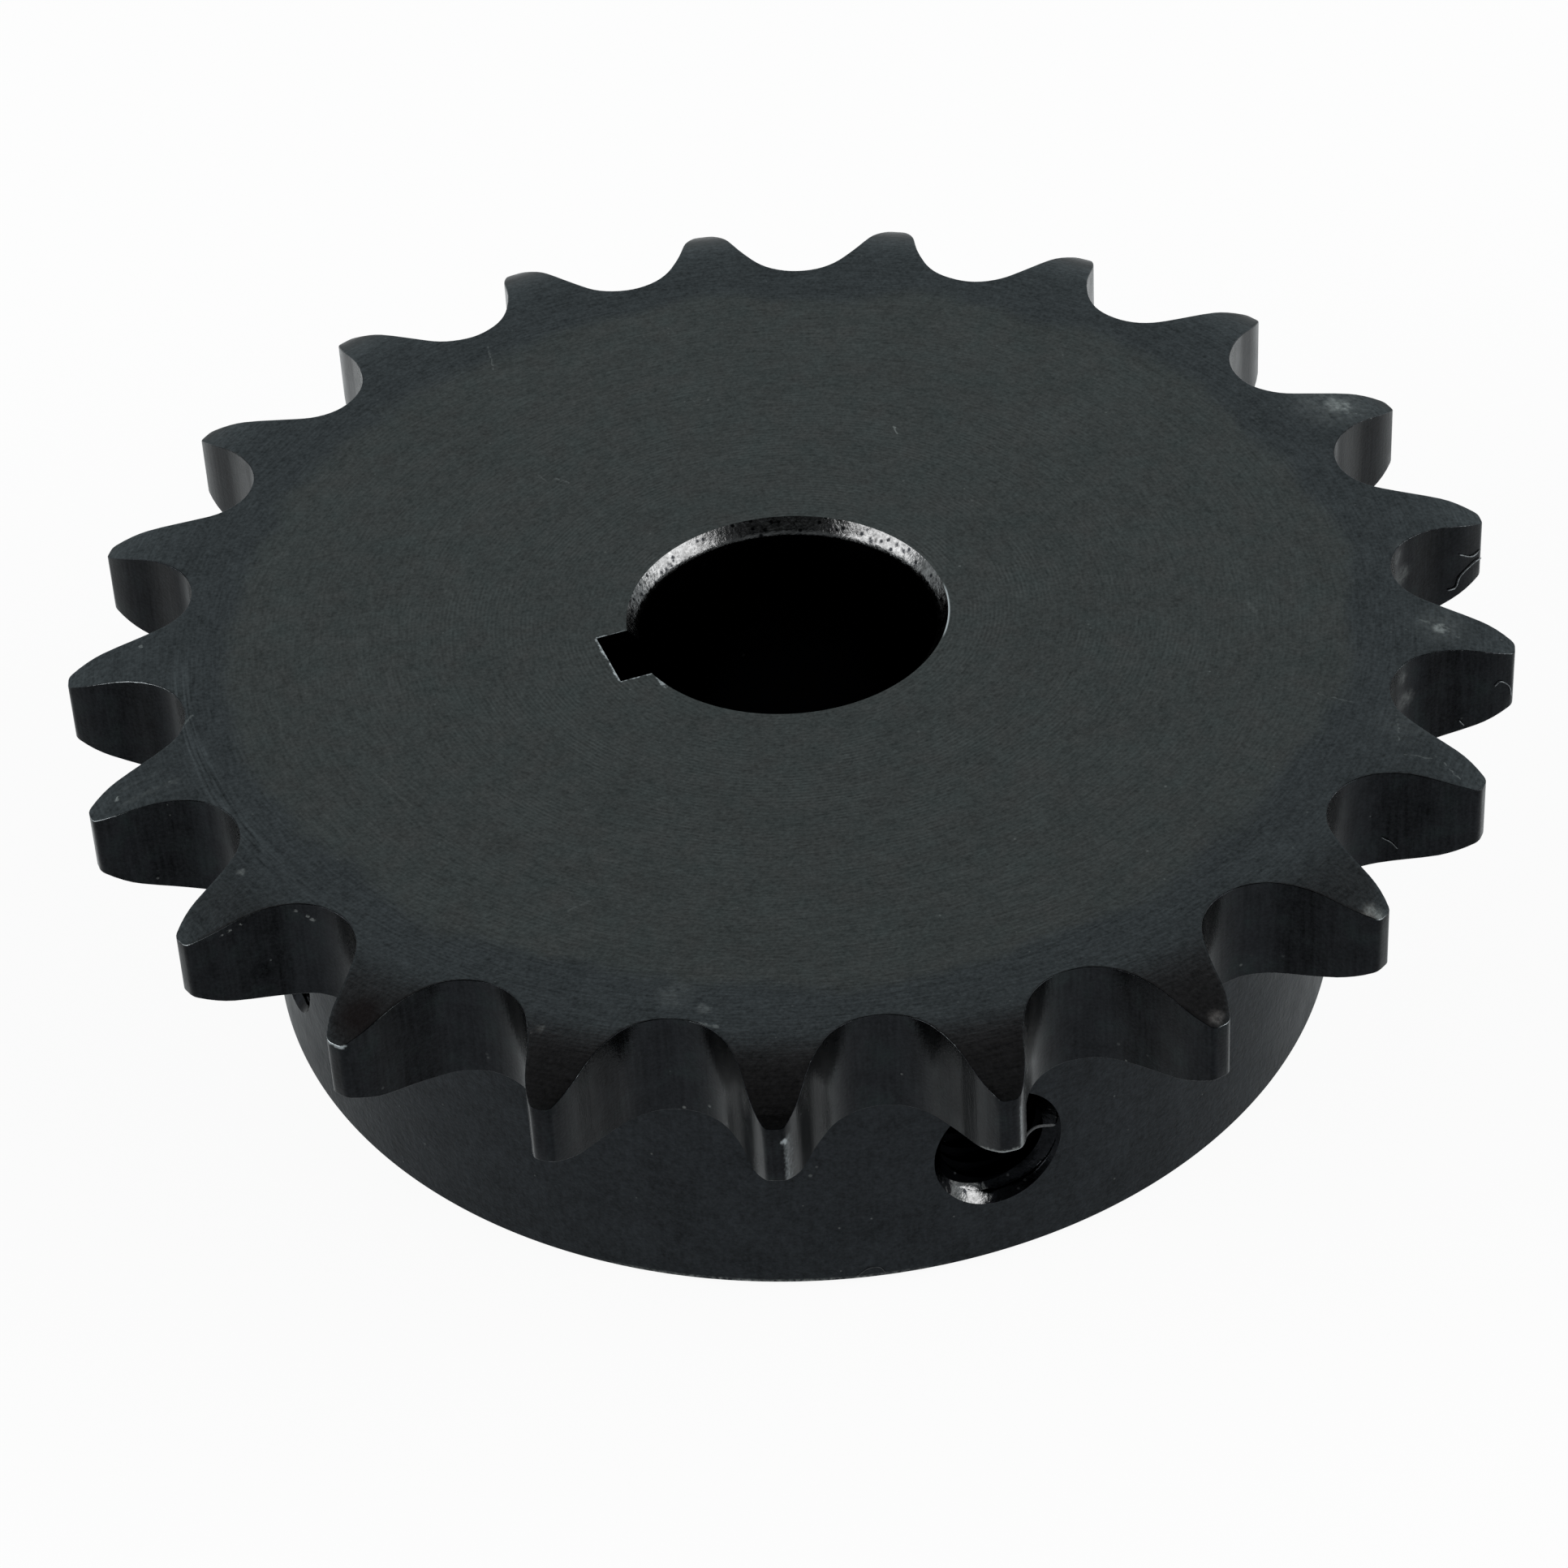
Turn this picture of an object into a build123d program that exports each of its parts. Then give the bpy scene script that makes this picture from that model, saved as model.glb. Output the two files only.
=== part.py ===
from build123d import *
import os
from math import acos, asin, atan2, cos, degrees, hypot, radians, sin, tan

# Roller-chain sprocket: 21 teeth for a single strand of 1/2 in pitch chain, hub on one side.
# Millimetres. The bore axis is Z, the hub's end face lies at z = 0 and the toothed plate is
# on top. The keyway points along +X and is centred on a tooth.

INCH = 25.4

# Chain and toothed plate
teeth = 21
chain_pitch = 12.7
roller_diameter = 7.92
plate_thickness = 7.2

# Hub
hub_diameter = 2.75 * INCH
overall_length = 1.0 * INCH
hub_end_chamfer = 0.5
hub_root_fillet = 0.8

# Bore and keyway
bore_diameter = 0.75 * INCH
bore_chamfer_width = 0.72
bore_chamfer_depth = 0.98
keyway_width = 3 / 16 * INCH
keyway_depth = 2.5

# Radial set-screw holes for 5/16-18 screws, left at the tap-drill size
set_screw_hole_radius = 3.3
countersink_radius = 4.4
countersink_angle = 90
set_screw_bearings = (0, 90)

# How far a cutting shape runs past the metal that it cuts
overrun = 2.0
topping_overrun = 0.3

# Places that follow from the sizes above
hub_radius = hub_diameter / 2
bore_radius = bore_diameter / 2
plate_bottom = overall_length - plate_thickness
keyway_floor = bore_radius + keyway_depth
set_screw_height = plate_bottom / 2

# Pitch circle and outside circle
half_tooth = radians(180 / teeth)
pitch_radius = chain_pitch / sin(half_tooth) / 2
outside_radius = chain_pitch * (0.6 + 1 / tan(half_tooth)) / 2

# Side of a tooth: an arc that leaves the plate's face half a pitch inside the outside circle
side_depth = chain_pitch / 2
side_radius = 1.063 * chain_pitch
side_start = outside_radius - side_depth
side_sweep = degrees(asin(side_depth / side_radius))

# Tooth space: the standard's seating, working and topping arcs, with a flat before the last.
# It is drawn about the centre of a seated roller, with X pointing away from the bore.
seat_radius = 0.5025 * roller_diameter + 0.0381
seat_angle = 35 + 60 / teeth
working_sweep = 18 - 56 / teeth
topping_angle = 17 - 64 / teeth
flank_angle = seat_angle - working_sweep

working_offset = 0.8 * roller_diameter
working_radius = seat_radius + working_offset
working_x = working_offset * sin(radians(seat_angle))
working_y = -working_offset * cos(radians(seat_angle))
working_reach = working_offset * cos(radians(working_sweep))
working_rise = working_offset * sin(radians(working_sweep))

topping_offset = 1.4 * roller_diameter
topping_x = -topping_offset * sin(half_tooth)
topping_y = topping_offset * cos(half_tooth)
topping_reach = topping_offset * cos(radians(topping_angle))
topping_rise = topping_offset * sin(radians(topping_angle))
topping_radius = working_reach + topping_reach - working_radius
flat_length = topping_rise - working_rise

# The topping arc ends where it meets a circle just outside the blank
cut_radius = outside_radius + topping_overrun
topping_distance = hypot(pitch_radius + topping_x, topping_y)
topping_bearing = atan2(topping_y, pitch_radius + topping_x)
squares = topping_distance**2 + cut_radius**2 - topping_radius**2
end_bearing = topping_bearing - acos(squares / (2 * topping_distance * cut_radius))
end_x = cut_radius * cos(end_bearing) - pitch_radius
end_y = cut_radius * sin(end_bearing)
topping_start = flank_angle - 90
topping_end = degrees(atan2(end_y - topping_y, end_x - topping_x))
space_end = outside_radius + overrun - pitch_radius

with BuildSketch() as tooth_space:
    with BuildLine():
        CenterArc((0, 0), seat_radius, 90 + seat_angle, 90 - seat_angle)
        working = CenterArc(
            (working_x, working_y), working_radius, 90 + seat_angle, -working_sweep
        )
        PolarLine(working @ 1, flat_length, flank_angle)
        topping = CenterArc(
            (topping_x, topping_y), topping_radius, topping_start, topping_end - topping_start
        )
        Polyline(topping @ 1, (space_end, end_y), (space_end, 0))
        mirror(about=Plane.XZ)
    make_face()

with BuildPart() as sprocket:
    # Turned blank: hub, plate with rounded sides, and the chamfered bore
    with BuildSketch(Plane.XZ):
        with BuildLine():
            Polyline(
                (bore_radius, bore_chamfer_depth),
                (bore_radius + bore_chamfer_width, 0),
                (hub_radius - hub_end_chamfer, 0),
                (hub_radius, hub_end_chamfer),
                (hub_radius, plate_bottom - hub_root_fillet),
            )
            CenterArc(
                (hub_radius + hub_root_fillet, plate_bottom - hub_root_fillet),
                hub_root_fillet,
                180,
                -90,
            )
            Line((hub_radius + hub_root_fillet, plate_bottom), (side_start, plate_bottom))
            lower_side = CenterArc(
                (side_start, plate_bottom + side_radius), side_radius, -90, side_sweep
            )
            upper_side = CenterArc(
                (side_start, overall_length - side_radius), side_radius, 90, -side_sweep
            )
            Line(lower_side @ 1, upper_side @ 1)
            Polyline(
                (side_start, overall_length),
                (bore_radius + bore_chamfer_width, overall_length),
                (bore_radius, overall_length - bore_chamfer_depth),
                (bore_radius, bore_chamfer_depth),
            )
        make_face()
    revolve(axis=Axis.Z)

    # Tooth spaces, with a tooth centred on +X
    with BuildSketch(Plane.XY.offset(plate_bottom)):
        with PolarLocations(pitch_radius, teeth, start_angle=degrees(half_tooth)):
            add(tooth_space.sketch)
    extrude(amount=plate_thickness, mode=Mode.SUBTRACT)

    # Keyway through the whole bore
    with BuildSketch(Plane.XY):
        Rectangle(keyway_floor, keyway_width, align=(Align.MIN, Align.CENTER))
    extrude(amount=overall_length, mode=Mode.SUBTRACT)

    # Set-screw holes, square to the hub's side halfway up it
    for bearing in set_screw_bearings:
        outwards = Vector(1, 0, 0).rotate(Axis.Z, bearing)
        mouth = Plane(origin=outwards * hub_radius + Vector(0, 0, set_screw_height), z_dir=outwards)
        with Locations(mouth):
            CounterSinkHole(
                radius=set_screw_hole_radius,
                counter_sink_radius=countersink_radius,
                depth=hub_radius,
                counter_sink_angle=countersink_angle,
            )

sprocket.part.label = "sprocket"
os.makedirs("parts", exist_ok=True)
export_step(sprocket.part, "parts/sprocket.step")
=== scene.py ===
import bpy
import bmesh
import math
import numpy as np
from mathutils import Matrix, Vector


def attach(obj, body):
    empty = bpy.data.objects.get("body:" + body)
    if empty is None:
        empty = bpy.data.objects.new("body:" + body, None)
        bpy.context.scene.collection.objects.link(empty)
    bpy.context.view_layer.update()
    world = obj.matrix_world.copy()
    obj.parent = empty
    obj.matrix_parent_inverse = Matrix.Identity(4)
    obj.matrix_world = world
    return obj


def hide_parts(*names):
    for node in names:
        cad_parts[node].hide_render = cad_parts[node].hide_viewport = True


# Roller-chain sprocket, 21 teeth, standing on its hub on a pale floor. Lengths are in millimetres
# up to the point where a mesh is made; the mesh itself is in metres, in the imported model's frame.

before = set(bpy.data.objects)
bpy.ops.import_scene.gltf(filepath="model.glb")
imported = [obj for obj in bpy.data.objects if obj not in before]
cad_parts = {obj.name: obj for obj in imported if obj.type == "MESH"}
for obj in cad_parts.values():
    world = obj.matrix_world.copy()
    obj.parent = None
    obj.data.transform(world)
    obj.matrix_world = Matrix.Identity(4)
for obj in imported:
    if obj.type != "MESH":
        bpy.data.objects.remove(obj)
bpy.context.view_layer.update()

MM = 0.001

# ---------------------------------------------------------------- sizes of the sprocket

teeth = 21
chain_pitch = 12.7
roller_diameter = 7.92
plate_top = 25.4
plate_bottom = 18.2
hub_radius = 34.925
hub_end_chamfer = 0.5
hub_root_fillet = 0.8
bore_radius = 9.525
bore_chamfer_width = 0.72
bore_chamfer_depth = 0.98
key_half_width = 2.38125
key_floor = 12.025
screw_height = 9.1
screw_radius = 3.3
screw_major_radius = 3.97
screw_pitch = 1.411
thread_land = 0.0625     # half the flat of a thread's root and crest, as a share of the pitch
sink_radius = 4.4
tip_corner = 0.55
edge_break = 0.05

half_tooth = math.pi / teeth
pitch_radius = chain_pitch / math.sin(half_tooth) / 2
outside_radius = chain_pitch * (0.6 + 1 / math.tan(half_tooth)) / 2
side_radius = 1.063 * chain_pitch
side_start = outside_radius - chain_pitch / 2
bore_edge_radius = bore_radius + bore_chamfer_width
thread_depth = screw_major_radius - screw_radius
thread_flank = thread_depth * math.tan(math.radians(30)) / screw_pitch

# Columns of the shell: so many to a tooth that a quarter turn is a whole number of them
tooth_columns = 40
columns = tooth_columns * teeth
quarter = columns // 4
screw_steps = 16     # columns from the middle of a set-screw hole to its side
key_floor_steps = 9
key_wall_steps = 4
key_reach = screw_steps + key_wall_steps


# ---------------------------------------------------------------- helpers on arrays

def blend(first, second, share):
    """share of the way from first to second."""
    return first + (second - first) * share


def arc(centre, radius, start, stop, steps):
    """Points on a circle about centre, from the angle start to the angle stop, without the last."""
    return np.asarray(centre) + plane(radius, blend(start, stop, np.arange(steps) / steps))


def plane(radius, angle):
    """Plane points at the given radii and angles."""
    return np.column_stack([radius * np.cos(angle), radius * np.sin(angle)])


def polar(loop):
    """Radius and unwrapped angle of each point of a plane loop."""
    return np.hypot(loop[:, 0], loop[:, 1]), np.unwrap(np.arctan2(loop[:, 1], loop[:, 0]))


def outwards(loop):
    """Mitre of the outward directions of the two sides that meet at each point of a loop.

    The loop is closed and runs counterclockwise. The mitre is the sum of the two unit directions
    over one plus their dot product, so a step of one along it moves both sides out by one.
    """
    ahead = np.roll(loop, -1, axis=0) - loop
    ahead /= np.linalg.norm(ahead, axis=1)[:, None]
    out = np.column_stack([ahead[:, 1], -ahead[:, 0]])
    before = np.roll(out, 1, axis=0)
    return (out + before) / (1 + np.sum(out * before, axis=1))[:, None]


def at_height(loop, height):
    """A plane loop as points in space at the given height or heights."""
    return np.column_stack([loop, np.broadcast_to(height, len(loop))])


def ripple(count, lowest, highest, seed):
    """A smooth closed run of values near -1 to 1: a sum of cosines of whole wave numbers."""
    rng = np.random.default_rng(seed)
    numbers = rng.integers(lowest, highest, 24)
    phase = rng.uniform(0, 2 * np.pi, 24)
    turn = 2 * np.pi * np.arange(count) / count
    return np.cos(np.outer(turn, numbers) + phase).sum(axis=1) / 5


def grid_quads(rows, width, closed):
    """Corner numbers of the quads of a grid of rows by width points, row after row."""
    left = np.arange(width if closed else width - 1)
    right = (left + 1) % width
    down = np.arange(rows - 1)[:, None] * width
    return np.stack([down + left, down + width + left, down + width + right, down + right], axis=-1)


# ---------------------------------------------------------------- loops of the shell

def plate_outline():
    """The toothed outline, counterclockwise from the middle of the tooth on +X, 40 points a tooth.

    Half a tooth space is drawn about a seated roller's centre, x away from the bore: the seating
    arc, the working arc, a short flat, the topping arc, the small round corner of the tip, and
    the tip on the outside circle, each arc starting where the last one ends. Its mirror image and
    itself make one pitch, which is turned round the bore for every tooth.
    """
    seat = 0.5025 * roller_diameter + 0.0381
    seat_angle = math.radians(35 + 60 / teeth)
    sweep = math.radians(18 - 56 / teeth)
    topping_angle = math.radians(17 - 64 / teeth)
    work_offset = 0.8 * roller_diameter
    top_offset = 1.4 * roller_diameter
    work = (work_offset * math.sin(seat_angle), -work_offset * math.cos(seat_angle))
    work_radius = seat + work_offset
    top = (-top_offset * math.sin(half_tooth), top_offset * math.cos(half_tooth))
    top_reach = top_offset * math.cos(topping_angle)
    top_radius = work_offset * math.cos(sweep) + top_reach - work_radius
    flank = seat_angle - sweep
    upright = math.pi / 2

    distance = math.hypot(pitch_radius + top[0], top[1])
    bearing = math.atan2(top[1], pitch_radius + top[0])
    reach = outside_radius - tip_corner
    squares = distance**2 + reach**2 - (top_radius - tip_corner) ** 2
    corner_bearing = bearing - math.acos(squares / (2 * distance * reach))
    corner = plane(reach, np.array([corner_bearing]))[0] - (pitch_radius, 0)
    top_end = math.atan2(corner[1] - top[1], corner[0] - top[0])

    half = np.concatenate([
        arc((0, 0), seat, math.pi, upright + seat_angle, 8),
        arc(work, work_radius, upright + seat_angle, upright + flank, 3),
        arc(work, work_radius, upright + flank, upright, 1),
        arc(top, top_radius, flank - upright, top_end, 4),
        arc(corner, tip_corner, top_end, corner_bearing, 3),
        arc((-pitch_radius, 0), outside_radius, corner_bearing, half_tooth, 1),
        plane(outside_radius, np.array([half_tooth])) - (pitch_radius, 0),
    ])
    radius, angle = polar(half + (pitch_radius, 0))
    radius = np.concatenate([radius[:0:-1], radius[:-1]])
    angle = np.concatenate([-angle[:0:-1], angle[:-1]])
    turns = half_tooth + 2 * half_tooth * np.arange(teeth)
    return plane(np.tile(radius, teeth), (turns[:, None] + angle).ravel())


def screw_turn():
    """Turn round a set-screw hole's axis at the columns that cross it: pi down to 0."""
    return np.linspace(np.pi, 0, 2 * screw_steps + 1)


def sink_edge(turn):
    """Radius of the countersink's edge: the cone narrows as far as the round hub falls away."""
    edge = np.full(np.shape(turn), sink_radius)
    for _ in range(12):
        edge = sink_radius - hub_radius + np.sqrt(hub_radius**2 - (edge * np.cos(turn)) ** 2)
    return edge


def hub_columns():
    """Angle of each column on the hub, and half the height that a set-screw hole opens there.

    Across a hole the columns follow the cosine of the turn round it, so they meet the points of
    its edge; between the holes they are evenly spaced.
    """
    turn = screw_turn()
    edge = sink_edge(turn)
    across = np.arcsin(edge * np.cos(turn) / hub_radius)
    place = np.arange(-screw_steps, screw_steps + 1)
    places = np.concatenate([place, place + quarter, place + columns])
    angles = np.concatenate([across, across + np.pi / 2, across + 2 * np.pi])
    rises = np.tile(edge * np.sin(turn), 3)
    column = np.arange(columns)
    return np.interp(column, places, angles), np.interp(column, places, rises)


# Turn round the set-screw hole on +X at the columns of half the keyway: across its floor, along
# its wall, where the turn stands still, and on round the bore to the side of the hole
key_turn = math.acos(key_half_width / screw_radius)
key_turns = np.concatenate([
    np.linspace(np.pi / 2, key_turn, key_floor_steps + 1),
    np.full(key_wall_steps - 1, key_turn),
    np.linspace(key_turn, 0, screw_steps - key_floor_steps + 1),
])
bore_corner = key_floor_steps + key_wall_steps


def bore_loop(radius):
    """The bore with its keyway as a plane loop, for a round part of the given radius.

    The keyway's floor and walls stay where they are and its walls reach in to the round part,
    whose columns keep their share of the angle from the keyway's corner to the hole's side.
    """
    across = screw_radius * np.cos(key_turns)
    side_angle = math.asin(screw_radius / bore_radius)
    rest = np.arcsin(np.clip(across / bore_radius, 0, 1))
    first = math.asin(key_half_width / bore_radius)
    here = math.asin(key_half_width / radius)
    round_angle = blend(here, side_angle, (rest - first) / (side_angle - first))
    inner = math.sqrt(radius**2 - key_half_width**2)
    wall = np.clip((np.arange(key_reach + 1) - key_floor_steps) / key_wall_steps, 0, 1)
    on_round = np.arange(key_reach + 1) >= bore_corner
    half = np.column_stack([blend(key_floor, inner, wall), across])
    half[on_round] = plane(radius, round_angle[on_round])

    turn = screw_turn()
    place = np.arange(-screw_steps, screw_steps + 1)
    places = np.concatenate([[key_reach], place + quarter, [columns - key_reach]])
    beside = np.pi / 2 + np.arcsin(screw_radius * np.cos(turn) / bore_radius)
    angles = np.concatenate([[side_angle], beside, [2 * np.pi - side_angle]])
    loop = plane(radius, np.interp(np.arange(columns), places, angles))
    loop[:key_reach + 1] = half
    loop[-key_reach:] = (half * (1, -1))[:0:-1]
    return loop


def bore_gap():
    """Half the height that a set-screw hole opens in the bore at each column."""
    gap = np.zeros(columns)
    rise = screw_radius * np.sin(key_turns)
    gap[:key_reach + 1] = rise
    gap[-key_reach:] = rise[:0:-1]
    gap[quarter - screw_steps:quarter + screw_steps + 1] = screw_radius * np.sin(screw_turn())
    return gap


# ---------------------------------------------------------------- rows of the shell

def side_drop(radius):
    """How far a tooth's side lies inside the plate's face: an arc tangent to it at side_start."""
    out = np.clip(radius - side_start, 0, side_radius)
    return side_radius - np.sqrt(side_radius**2 - out**2)


def broken_edge(outline, width, steps):
    """Rows of a plate edge, from the tooth's side to its wall, and their depths below the face.

    Seen along the edge, the side slopes down towards it by the slope of its arc times the cosine
    between the outline's outward direction and the radius. The edge is a circle of radius width
    that touches the slope and the wall, stepped through evenly from the slope's angle to upright.
    """
    out = outwards(outline)
    radius, _ = polar(outline)
    past = np.clip(radius - side_start, 0, None)
    slope = past / np.sqrt(side_radius**2 - past**2) * np.sum(out * outline, axis=1) / radius
    tilt = np.arctan(np.clip(slope, 0, None))
    depth = side_drop(radius)
    rows = []
    for turn in [blend(tilt, np.pi / 2, step / steps) for step in range(steps + 1)]:
        inwards = width * (np.sin(turn) - 1)
        below = depth - width * (np.tan(tilt) - 1 / np.cos(tilt) + np.cos(turn))
        rows.append((outline + out * inwards[:, None], below))
    return rows


def turned_rows(inner, outer, shares):
    """Plane loops between two loops, each column's radius and angle going evenly across."""
    inner_radius, inner_angle = polar(inner)
    outer_radius, outer_angle = polar(outer)
    turns = np.round((inner_angle - outer_angle).mean() / (2 * np.pi))
    outer_angle = outer_angle + 2 * np.pi * turns
    return [plane(blend(inner_radius, outer_radius, share), blend(inner_angle, outer_angle, share))
            for share in shares]


def edge_widths(seed):
    """Width of the broken edge at each column, a third more or less than its usual one."""
    return edge_break * (1 + 0.35 * ripple(columns, 20, 190, seed))


def edge_wear(marks, level, seed):
    """Wear of an edge at each column: a rippled level, and bell-shaped marks over it.

    Each mark is the tooth that it is at, counted round from the one on +X, its half width in
    teeth and its strength.
    """
    place = np.arange(columns) / tooth_columns
    worn = level * (1 + 0.4 * ripple(columns, 10, 150, seed))
    for tooth, half, strength in marks:
        off = (place - tooth + teeth / 2) % teeth - teeth / 2
        worn = worn + strength * np.exp(-(off / half) ** 2)
    return worn


# Where the plate is rubbed bright: tooth, half width in teeth, strength. The marks on the tips'
# upright corners are rubbed steel and painted highlights. The tips' upright corners lie a
# sixteenth of a tooth to either side of a tooth's middle.
upper_marks = ((20.25, 0.09, 0.42), (20.01, 0.04, 0.4), (1.96, 0.04, 0.55), (6.03, 0.04, 0.5),
               (6.96, 0.05, 0.55), (0.03, 0.05, 0.3), (0.10, 0.12, 0.34), (1.12, 0.14, 0.36),
               (2.24, 0.06, 0.30), (8.90, 0.12, 0.16), (9.80, 0.10, 0.12))
corner_wear_and_highlights = ((4.09, 0.05, 0.40), (5.085, 0.03, 0.52), (7.07, 0.03, 0.38), (0.93, 0.03, 0.38))
lower_marks = ((4.97, 0.11, 0.50), (5.08, 0.03, 0.35), (3.95, 0.05, 0.2), (3.03, 0.05, 0.2),
               (3.5, 0.25, 0.10), (4.5, 0.25, 0.14))


def shell_rows():
    """All rows of the closed shell, once round its section, and the name of each row's surface.

    The section runs from the bore's upper chamfer out over the plate, down its edge, in under
    it, down the hub, in over the hub's end and up the bore. Where a set-screw hole opens, two
    rows part to both sides of it; elsewhere they lie on each other.
    """
    rows = []

    def add(surface, loops, heights, worn=0.0):
        rows.extend((surface, at_height(loop, height), np.broadcast_to(worn, columns))
                    for loop, height in zip(loops, heights))

    outline = plate_outline()
    chamfer = np.linspace(0, 1, 4)
    chamfer_radii = blend(bore_radius, bore_edge_radius, chamfer)
    chamfer_loops = [bore_loop(radius) for radius in chamfer_radii]
    bore_edge = chamfer_loops[-1]

    # Upper chamfer and face
    add("bore chamfer", chamfer_loops, blend(plate_top - bore_chamfer_depth, plate_top, chamfer))
    edge = broken_edge(outline, edge_widths(3), 4)
    edge_angle = polar(edge[0][0])[1]
    flat_edge = plane(side_start - 2.0, edge_angle)
    near_bore = bore_edge + outwards(bore_edge) * 0.3
    add("face", turned_rows(near_bore, flat_edge, (0, 0.12, 0.35, 0.65)), [plate_top] * 4)
    side = turned_rows(flat_edge, edge[0][0], np.linspace(0, 1, 12)[:-1])
    add("face", side, [plate_top - side_drop(polar(loop)[0]) for loop in side])

    # Edge of the plate, with its wall
    worn = edge_wear(upper_marks, 0.20, 7)
    for step, (loop, depth) in enumerate(edge):
        add("edge" if step else "face", [loop], [plate_top - depth],
            worn * math.sin(step / 4 * math.pi))
    low_widths = edge_widths(4) + 0.4 * edge_wear(lower_marks[:2], 0, 0)
    low_edge = broken_edge(outline, low_widths, 4)[::-1]
    upper = plate_top - edge[-1][1]
    lower = plate_bottom + low_edge[0][1]
    # The wall's marks at the tips' corners: painted highlights on rubbed steel.
    worn = edge_wear(corner_wear_and_highlights, 0, 0)
    add("wall", [outline] * 3, [blend(upper, lower, share) for share in (0.25, 0.5, 0.75)], worn)
    add("wall", [low_edge[0][0]], [lower], worn)
    worn = edge_wear(lower_marks, 0.20, 8)
    for step, (loop, depth) in enumerate(low_edge[1:]):
        add("low edge", [loop], [plate_bottom + depth], worn * math.cos(step / 3 * math.pi / 2))

    # Under the plate and down the hub
    hub_angle, hub_gap = hub_columns()
    hub = plane(hub_radius, hub_angle)
    under = turned_rows(low_edge[-1][0], plane(hub_radius + hub_root_fillet, hub_angle),
                        np.linspace(0, 1, 10)[1:-1])
    add("under", under, [plate_bottom + side_drop(polar(loop)[0]) for loop in under])
    for turn in np.linspace(0, np.pi / 2, 5):
        add("root", [plane(hub_radius + hub_root_fillet * (1 - math.sin(turn)), hub_angle)],
            [plate_bottom - hub_root_fillet * (1 - math.cos(turn))])
    hub_top = plate_bottom - hub_root_fillet
    for share in np.linspace(0, 1, 6)[1:]:
        add("hub", [hub], [blend(hub_top, screw_height + hub_gap, share)])
    opened = [len(rows) - 1]
    for share in np.linspace(0, 1, 6):
        add("hub", [hub], [blend(screw_height - hub_gap, hub_end_chamfer, share)])

    # The hub's end and the bore
    add("hub edge", [plane(hub_radius - hub_end_chamfer, hub_angle)], [0])
    rim = plane(hub_radius - 2 * hub_end_chamfer, hub_angle)
    add("end", turned_rows(rim, near_bore, (0, 0.5, 1)), [0] * 3)
    add("bore chamfer", chamfer_loops[::-1], blend(0, bore_chamfer_depth, chamfer))
    gap = bore_gap()
    bore = chamfer_loops[0]
    for share in np.linspace(0, 1, 4)[1:]:
        add("bore", [bore], [blend(bore_chamfer_depth, screw_height - gap, share)])
    opened.append(len(rows) - 1)
    for share in np.linspace(0, 1, 4):
        add("bore", [bore], [blend(screw_height + gap, plate_top - bore_chamfer_depth, share)])
    return rows, opened


# ---------------------------------------------------------------- set-screw holes

def tapped_radius(reach, turn, first):
    """Radius of the tapped wall at a distance from the bore's axis and a turn round the hole.

    The thread is a trapezium that climbs one pitch in a turn, from the tap drill's radius to the
    screw's, with 60 degrees between its flanks; it fades in over a millimetre from first.
    """
    share = np.mod(reach / screw_pitch - turn / (2 * np.pi), 1)
    cut = np.clip((thread_land + thread_flank - np.abs(share - 0.5)) / thread_flank, 0, 1)
    return screw_radius + thread_depth * cut * np.clip(reach - first, 0, 1)


def screw_columns():
    """Turns round a hole, -pi to pi: evenly spaced, and as the keyway's corners space them."""
    even = np.linspace(-np.pi, np.pi, 4 * screw_steps + 1)
    first = np.concatenate([key_turns[bore_corner:][::-1], key_turns[:key_floor_steps][::-1]])
    half = np.concatenate([first, np.pi - first[-2::-1]])
    return even, np.concatenate([-half[::-1], half[1:]])


def screw_hole(inner_end, inner_turn, first):
    """Grid of a set-screw hole along +X: distance from the bore's axis, radius and turn.

    Its first rows lie across the countersink, where the wall is the cone or the thread, whichever
    is wider. Below them the rows climb with the thread, four to a pitch at the corners of its
    section, held between the countersink's foot and inner_end, and their turns go over from
    evenly spaced to inner_turn.
    """
    even, _ = screw_columns()
    edge = sink_edge(even)
    mouth = np.sqrt(hub_radius**2 - (edge * np.cos(even)) ** 2)
    foot = hub_radius - (sink_radius - screw_radius)
    down = blend(mouth, foot, np.linspace(0, 1, sink_bands + 1)[:, None])
    down_turn = np.broadcast_to(even, down.shape)
    cone = sink_radius - (hub_radius - down)
    cone_wall = np.maximum(cone, tapped_radius(down, down_turn, first))
    cone_wall[0] = edge

    corners = 0.5 + np.array([thread_land + thread_flank, thread_land, -thread_land,
                              -thread_land - thread_flank])
    deepest = inner_end.max()
    pitches = np.arange(int(foot / screw_pitch) + 1, int(inner_end.min() / screw_pitch) - 2, -1)
    starts = ((pitches[:, None] + corners).ravel() * screw_pitch)[:, None]
    way = (foot - screw_pitch / 2 - starts) / (foot - deepest - screw_pitch)
    turn = blend(even, inner_turn, np.clip(way, 0, 1))
    climb = np.clip(starts + screw_pitch * turn / (2 * np.pi), inner_end, foot)
    wall = tapped_radius(climb, turn, first)
    return tuple(np.concatenate(parts)
                 for parts in ((down, climb), (cone_wall, wall), (down_turn, turn)))


def hole_points(reach, radius, turn, bearing):
    """Points of a set-screw hole from its own measures, turned round the bore to its bearing."""
    side = radius * np.cos(turn)
    rise = screw_height + radius * np.sin(turn)
    x = reach * math.cos(bearing) - side * math.sin(bearing)
    y = reach * math.sin(bearing) + side * math.cos(bearing)
    return np.stack([x, y, rise], axis=-1)


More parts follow.
